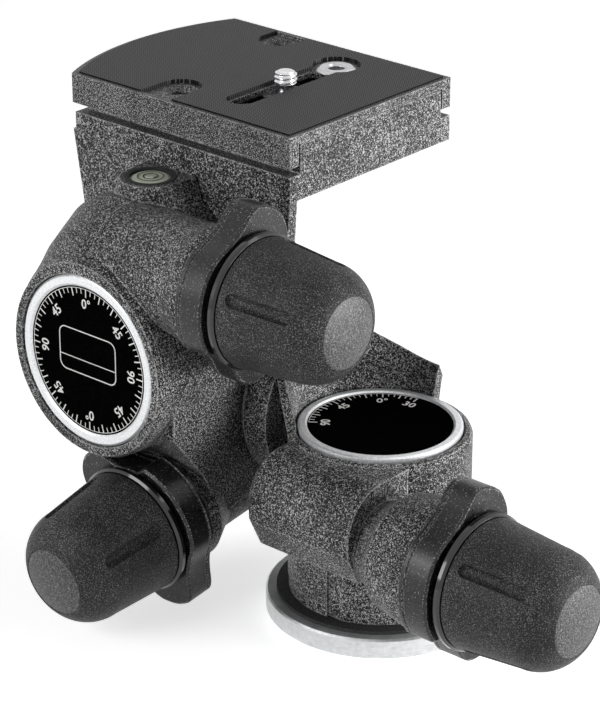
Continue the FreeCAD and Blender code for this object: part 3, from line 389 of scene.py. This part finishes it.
class Marks:
    """Collects flat raised marks on a dial, in dial coordinates."""

    def __init__(self, placement):
        self.placement = placement
        self.verts = []
        self.faces = []

    def add(self, points, faces):
        base = len(self.verts)
        self.verts += [tuple(self.placement @ Vector(p)) for p in points]
        self.faces += [tuple(base + i for i in f) for f in faces]

    def bar(self, angle, r0, r1, width):
        """Radial tick, the angle counted clockwise from the dial's top."""
        turn = Matrix.Rotation(-math.radians(angle), 4, "Z")
        w = width / 2
        self.block([turn @ Vector((x, y, 0.0)) for x, y in ((-w, r0), (w, r0), (w, r1), (-w, r1))])

    def block(self, corners):
        high = [Vector((p.x, p.y, RISE)) for p in corners]
        self.add(corners + high, [(4, 5, 6, 7), (0, 1, 5, 4), (1, 2, 6, 5), (2, 3, 7, 6), (3, 0, 4, 7)])

    def band(self, inner, outer, closed=True):
        """Raised line between two rows of points."""
        points, faces = [], []
        for (ax, ay), (bx, by) in zip(inner, outer):
            points += [(ax, ay, 0.0), (ax, ay, RISE), (bx, by, RISE), (bx, by, 0.0)]
        count = len(inner)
        for i in range(count if closed else count - 1):
            a, b = 4 * i, 4 * ((i + 1) % count)
            faces += [(a + k, a + k + 1, b + k + 1, b + k) for k in range(3)]
        if not closed:
            last = 4 * (count - 1)
            faces += [(3, 2, 1, 0), (last, last + 1, last + 2, last + 3)]
        self.add(points, faces)

    def circle(self, r0, r1, start=0.0, end=360.0, steps=96):
        """Ring or arc, the angles counted clockwise from the dial's top."""
        closed = end - start >= 360.0
        count = steps if closed else steps + 1
        turns = [math.radians(start + (end - start) * i / steps) for i in range(count)]
        self.band([(r0 * math.sin(a), r0 * math.cos(a)) for a in turns],
                  [(r1 * math.sin(a), r1 * math.cos(a)) for a in turns], closed)

    def frame(self, middle, width, height, corner, line):
        """Thin rounded rectangle with a bare inside."""
        rows = []
        for grow in (-line / 2, line / 2):
            row = []
            for sx, sy, first in ((1, 1, 0), (-1, 1, 90), (-1, -1, 180), (1, -1, 270)):
                for i in range(CORNER_STEPS + 1):
                    a = math.radians(first + 90 * i / CORNER_STEPS)
                    row.append((sx * (width / 2 - corner) + (corner + grow) * math.cos(a),
                                middle + sy * (height / 2 - corner) + (corner + grow) * math.sin(a)))
            rows.append(row)
        self.band(*rows)

    def scale(self, start, end, rim):
        """Short and long ticks that end at the rim."""
        for step in range(start, end, TICK_STEP):
            length, width = (SHORT_TICK, THIN) if step % LONG_STEP else (LONG_TICK, THICK)
            self.bar(step, rim - length, rim, width)

    def number(self, text, angle, radius, size):
        """Plain number whose top points to the rim."""
        curve = bpy.data.curves.new("number", "FONT")
        curve.body = text
        curve.size = size
        curve.align_x = "CENTER"
        curve.align_y = "CENTER"
        curve.extrude = RISE / 2
        curve.offset = size * STROKE_GROWTH
        curve.resolution_u = 3
        holder = bpy.data.objects.new("number", curve)
        scene.collection.objects.link(holder)
        bpy.context.view_layer.update()
        mesh = bpy.data.meshes.new_from_object(holder.evaluated_get(bpy.context.evaluated_depsgraph_get()))
        turn = Matrix.Rotation(-math.radians(angle), 4, "Z") @ Matrix.Translation((0, radius, RISE / 2))
        self.add([turn @ v.co for v in mesh.vertices], [tuple(p.vertices) for p in mesh.polygons])
        bpy.data.objects.remove(holder)
        bpy.data.curves.remove(curve)
        bpy.data.meshes.remove(mesh)


# Side dial: a full circle, read from the front. Its face looks to -Y.
SIDE_RIM, LINE = 19.8, 0.14
SIDE_INSET, SIDE_SIZE = 4.3, 3.7
side = Marks(Matrix(((1, 0, 0, SIDE_X), (0, 0, -1, SIDE_FACE), (0, 1, 0, SIDE_Z), (0, 0, 0, 1))))
side.scale(0, 360, SIDE_RIM)
side.circle(SIDE_RIM, SIDE_RIM + LINE)
for i, text in enumerate(("0°", "45", "90", "45") * 2):
    side.number(text, 45 * i, SIDE_RIM - SIDE_INSET, SIDE_SIZE)

# Thin frame in the middle of the side dial, with a line across it
FRAME_UP, FRAME_WIDE, FRAME_HIGH = 1.5, 20.3, 12.0
FRAME_CORNER, FRAME_LINE = 2.2, 0.3
SPLIT_UP, SPLIT_REACH, SPLIT_HALF = FRAME_UP - 2.0, 10.0, 0.12
side.frame(FRAME_UP, FRAME_WIDE, FRAME_HIGH, FRAME_CORNER, FRAME_LINE)
side.block([Vector((x * SPLIT_REACH, SPLIT_UP + y * SPLIT_HALF, 0.0))
            for x, y in ((-1, -1), (1, -1), (1, 1), (-1, 1))])
piece("side_dial_scale", side.verts, side.faces, WHITE, "platform")

# Pan dial: part of a circle round the zero, in true degrees about the pan axis
PAN_ZERO, PAN_RIM = 128.0, 18.6
PAN_START, PAN_END = -90, 30
PAN_INSET, PAN_SIZE = 4.4, 3.6
pan = Marks(Matrix.Translation((0, 0, PAN_FACE)) @ Matrix.Rotation(math.radians(PAN_ZERO - 90), 4, "Z"))
pan.scale(PAN_START, PAN_END + 1, PAN_RIM)
pan.circle(PAN_RIM, PAN_RIM + LINE, PAN_START, PAN_END, 48)
for text, angle in (("90", -90), ("45", -45), ("0°", 0), ("30", 30)):
    pan.number(text, angle, PAN_RIM - PAN_INSET, PAN_SIZE)
piece("pan_dial_scale", pan.verts, pan.faces, WHITE, "root")

# Level: circles on the glass and the bubble under them, a little off their middle
level = Marks(Matrix.Translation(LEVEL))
for inner, outer, steps in ((1.75, 2.05, 48), (3.3, 3.55, 64)):
    level.circle(inner, outer, steps=steps)
piece("level_circles", level.verts, level.faces, INK, "tilt")

BUBBLE = (LEVEL[0] + 0.3, LEVEL[1] - 0.4, LEVEL[2])
BUBBLE_SIDE = [(1.35, -0.02), (1.3, 0.06), (1.05, 0.14), (0.5, 0.18)]
BUBBLE_STEPS = 32


def capped_faces(rows, around):
    """Sides of a round shape row by row, then its two ends."""
    faces = []
    for j in range(rows - 1):
        for i in range(around):
            k = (i + 1) % around
            faces.append((j * around + i, j * around + k, (j + 1) * around + k, (j + 1) * around + i))
    last = (rows - 1) * around
    faces.append(tuple(range(around - 1, -1, -1)))
    faces.append(tuple(range(last, last + around)))
    return faces


verts = []
for r, h in BUBBLE_SIDE:
    for i in range(BUBBLE_STEPS):
        a = 2 * math.pi * i / BUBBLE_STEPS
        verts.append((BUBBLE[0] + r * math.cos(a), BUBBLE[1] + r * math.sin(a), BUBBLE[2] + h))
bubble = piece("level_bubble", verts, capped_faces(len(BUBBLE_SIDE), BUBBLE_STEPS), level_bubble(),
               "tilt")
bubble.data.shade_smooth()


# Camera screw: its head as (radius, height over the screw's low end), its neck, its
# thread and its tip as (radius, height over the top). The thread's flanks leave flat
# roots between them and fade out below the top.
SCREW_HEAD = [(0.01, -0.3), (5.6, -0.3), (6.3, 0.3), (6.5, 0.8), (6.5, 3.2), (6.3, 3.35), (2.4, 3.4)]
SCREW_NECK = (2.4, 130.4)
SCREW_TIP = [(2.5, -0.3), (2.0, 0.0), (0.01, 0.0)]
PITCH, CREST, ROOT = 1.27, 3.1, 2.55
THREAD_LOW, THREAD_HIGH = 130.5, SCREW_TOP - 0.35
THREAD_STEPS, FLANK, FADE = 12, 1.25, 0.7
SCREW_STEPS = 48


def threaded_screw():
    """Camera screw with its helical thread."""
    rows = [(r, SCREW_LOW + h, False) for r, h in SCREW_HEAD] + [(*SCREW_NECK, False)]
    z = THREAD_LOW
    while z < THREAD_HIGH:
        rows.append((ROOT, z, True))
        z += PITCH / THREAD_STEPS
    rows += [(r, SCREW_TOP + h, False) for r, h in SCREW_TIP]
    verts = []
    for r, z, cut in rows:
        depth = min(1.0, max(0.0, (SCREW_TOP - z) / FADE)) if cut else 0.0
        for i in range(SCREW_STEPS):
            a = 2 * math.pi * i / SCREW_STEPS
            phase = (z / PITCH - i / SCREW_STEPS) % 1.0
            tooth = max(0.0, 1.0 - abs(2 * phase - 1.0) * FLANK) * (CREST - ROOT)
            radius = r + tooth * depth
            verts.append((SCREW[0] + radius * math.cos(a), SCREW[1] + radius * math.sin(a), z))
    faces = capped_faces(len(rows), SCREW_STEPS)
    obj = piece("camera_screw_thread", verts, faces, BRIGHT, "camera_screw")
    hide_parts("camera_screw")


threaded_screw()


# Release levers: radius of the ring's outline at each angle from the middle of
# the thumb bulge, in degrees, and the profile of its side as (inset, height)
LEVER_RIM = [(-44, 19.2), (35, 19.2), (38, 16.6), (56, 16.6), (64, 17.3), (70, 18.9), (75, 20.8),
             (80, 22.1), (85, 23.1), (90, 23.6), (95, 23.8), (100, 23.6), (105, 23.1), (110, 22.1),
             (115, 20.8), (120, 19.0), (126, 17.5), (133, 16.6), (214, 16.6), (226, 20.2), (238, 22.8),
             (250, 24.1), (263, 24.5), (266, 24.0), (274, 21.0), (280, 19.6), (287, 18.6), (294, 18.2),
             (300, 18.3), (308, 18.8), (316, 19.2)]
LEVER_START, LEVER_STEPS = LEVER_RIM[0][0], 180
LEVER_T, LEVER_BORE = 8.8, 9.05
LEVER_SIDE = [(0.5, 0.0), (0.0, 0.5), (0.0, 1.5), (0.3, 1.6), (0.3, 2.0), (0.0, 2.1),
              (0.0, LEVER_T - 0.6), (0.6, LEVER_T)]
LEVER_SOFTENING, SHARP_ANGLE = 2, 30

# Each lever's middle, the three directions of its own frame and its bulge's angle
LEVERS = {
    "side": ((-25.4, -31.0, 93.3), (0, 0, -1), (0, 1, 0), (1, 0, 0), 270.0),
    "front": ((-48.0, -32.5798, 24.2087),
              (0, -0.134851, 0.990866), (-1, 0, 0), (0, -0.990866, -0.134851), -45.0),
    "pan": ((41.8, -24.0, 35.0), (0, 1, 0), (0, 0, 1), (1, 0, 0), 184.0),
}


def rim_radius(angle):
    """Radius of the outline, straight between the rows of its table."""
    for (a, r), (b, q) in zip(LEVER_RIM, LEVER_RIM[1:]):
        if a <= angle <= b:
            return r + (q - r) * (angle - a) / (b - a)


def lever_ring(name):
    """Release lever with its two ears, a groove round its side and broken edges."""
    origin, toward, across, out, bulge = LEVERS[name]
    place = Matrix((toward, across, out)).transposed().to_4x4()
    place.translation = origin
    count = LEVER_STEPS
    radii = [rim_radius(LEVER_START + 360 * i / count) for i in range(count)]
    for softening in range(LEVER_SOFTENING):
        radii = [(radii[i - 1] + 2 * radii[i] + radii[(i + 1) % count]) / 4 for i in range(count)]
    rows = [(None, 0.0)] + LEVER_SIDE + [(None, LEVER_T)]
    verts, faces = [], []
    for inset, height in rows:
        for i, radius in enumerate(radii):
            a = math.radians(bulge + LEVER_START + 360 * i / count)
            r = LEVER_BORE if inset is None else radius - inset
            verts.append(tuple(place @ Vector((r * math.cos(a), r * math.sin(a), height))))
    for j in range(len(rows)):
        for i in range(count):
            k, m = (i + 1) % count, (j + 1) % len(rows)
            faces.append((j * count + k, m * count + k, m * count + i, j * count + i))
    obj = piece(name + "_lever", verts, faces, LEVER, name + "_lever")
    obj.data.shade_smooth()
    obj.data.set_sharp_from_angle(angle=math.radians(SHARP_ANGLE))
    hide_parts(name + "_lever_ring")


for name in LEVERS:
    lever_ring(name)


# Floor, light and camera

REACH = 6.0
FLOOR_GLOW = 0.7
ROOM_FALL = ((0.1, 0.36), (0.8, 0.03))


def seen_directly(tree):
    """One for rays from the camera, a gloss or a clear piece, nothing for the rest."""
    path = tree.nodes.new("ShaderNodeLightPath")
    total = path.outputs["Is Camera Ray"]
    for kind in ("Is Glossy Ray", "Is Transmission Ray"):
        node = tree.nodes.new("ShaderNodeMath")
        node.operation = "MAXIMUM"
        tree.links.new(total, node.inputs[0])
        tree.links.new(path.outputs[kind], node.inputs[1])
        total = node.outputs[0]
    return total


def floor_look():
    n = Nodes("pale_floor")
    paper = n.noise(14.0, 3.0)
    color = n.ramp(paper, [(0.3, (0.93, 0.93, 0.93)), (0.7, (0.95, 0.95, 0.95))])
    n.finish(color, 0.8, 0.0, 0.2)
    n.link(color, n.shader.inputs["Emission Color"])
    glow = n.maths("MULTIPLY", seen_directly(n.tree), FLOOR_GLOW)
    n.link(glow, n.shader.inputs["Emission Strength"])
    return n.mat


def room_look():
    """White backdrop, and a softer light that falls off towards the zenith."""
    world = bpy.data.worlds.new("room")
    world.use_nodes = True
    tree = world.node_tree
    backdrop = tree.nodes["Background"]
    backdrop.inputs["Color"].default_value = (1.0, 1.0, 1.0, 1.0)
    backdrop.inputs["Strength"].default_value = 1.0
    split = tree.nodes.new("ShaderNodeSeparateXYZ")
    tree.links.new(tree.nodes.new("ShaderNodeTexCoord").outputs["Generated"], split.inputs[0])
    fall = tree.nodes.new("ShaderNodeValToRGB")
    for element, (at, grey) in zip(fall.color_ramp.elements, ROOM_FALL):
        element.position = at
        element.color = (grey, grey, grey, 1.0)
    tree.links.new(split.outputs["Z"], fall.inputs["Fac"])
    soft = tree.nodes.new("ShaderNodeBackground")
    tree.links.new(fall.outputs["Color"], soft.inputs["Color"])
    join = tree.nodes.new("ShaderNodeMixShader")
    tree.links.new(seen_directly(tree), join.inputs["Fac"])
    tree.links.new(soft.outputs[0], join.inputs[1])
    tree.links.new(backdrop.outputs[0], join.inputs[2])
    tree.links.new(join.outputs[0], tree.nodes["World Output"].inputs["Surface"])
    return world


corners = [(x * REACH, y * REACH, 0) for x, y in ((-1, -1), (1, -1), (1, 1), (-1, 1))]
mesh = bpy.data.meshes.new("floor")
mesh.from_pydata(corners, [], [(0, 1, 2, 3)])
mesh.materials.append(floor_look())
floor = bpy.data.objects.new("floor", mesh)
scene.collection.objects.link(floor)
scene.world = room_look()


LIT_POINT = Vector((-0.03, 0.0, 0.06))


def area(name, at, size, power):
    """Area light that faces the middle of the head."""
    light = bpy.data.lights.new(name, "AREA")
    light.shape = "RECTANGLE"
    light.size, light.size_y = size
    light.energy = power
    obj = bpy.data.objects.new(name, light)
    obj.location = at
    obj.rotation_euler = (LIT_POINT - Vector(at)).to_track_quat("-Z", "Y").to_euler()
    scene.collection.objects.link(obj)


area("key_right", (0.66, 0.34, 0.12), (0.5, 0.4), 8.0)
area("fill_left", (-0.3, -0.78, 0.42), (0.5, 0.4), 3.6)
area("back_top", (0.1, 0.5, 0.8), (0.8, 0.3), 1.2)

# Camera: where it looks from in degrees, how far off in metres, and what it looks at
AZIMUTH, ELEVATION, DISTANCE = math.radians(41.5), math.radians(24.0), 0.775
TARGET = Vector((-0.0279, 0.0, 0.0655))
FOCAL, SENSOR, NEAREST = 150.6, 36.0, 0.01
back = Vector((math.sin(AZIMUTH) * math.cos(ELEVATION), -math.cos(AZIMUTH) * math.cos(ELEVATION),
               math.sin(ELEVATION)))
lens = bpy.data.cameras.new("camera")
lens.lens = FOCAL
lens.sensor_width = SENSOR
lens.clip_start = NEAREST
camera = bpy.data.objects.new("camera", lens)
camera.location = TARGET + back * DISTANCE
camera.rotation_euler = back.to_track_quat("Z", "Y").to_euler()
scene.collection.objects.link(camera)
scene.camera = camera
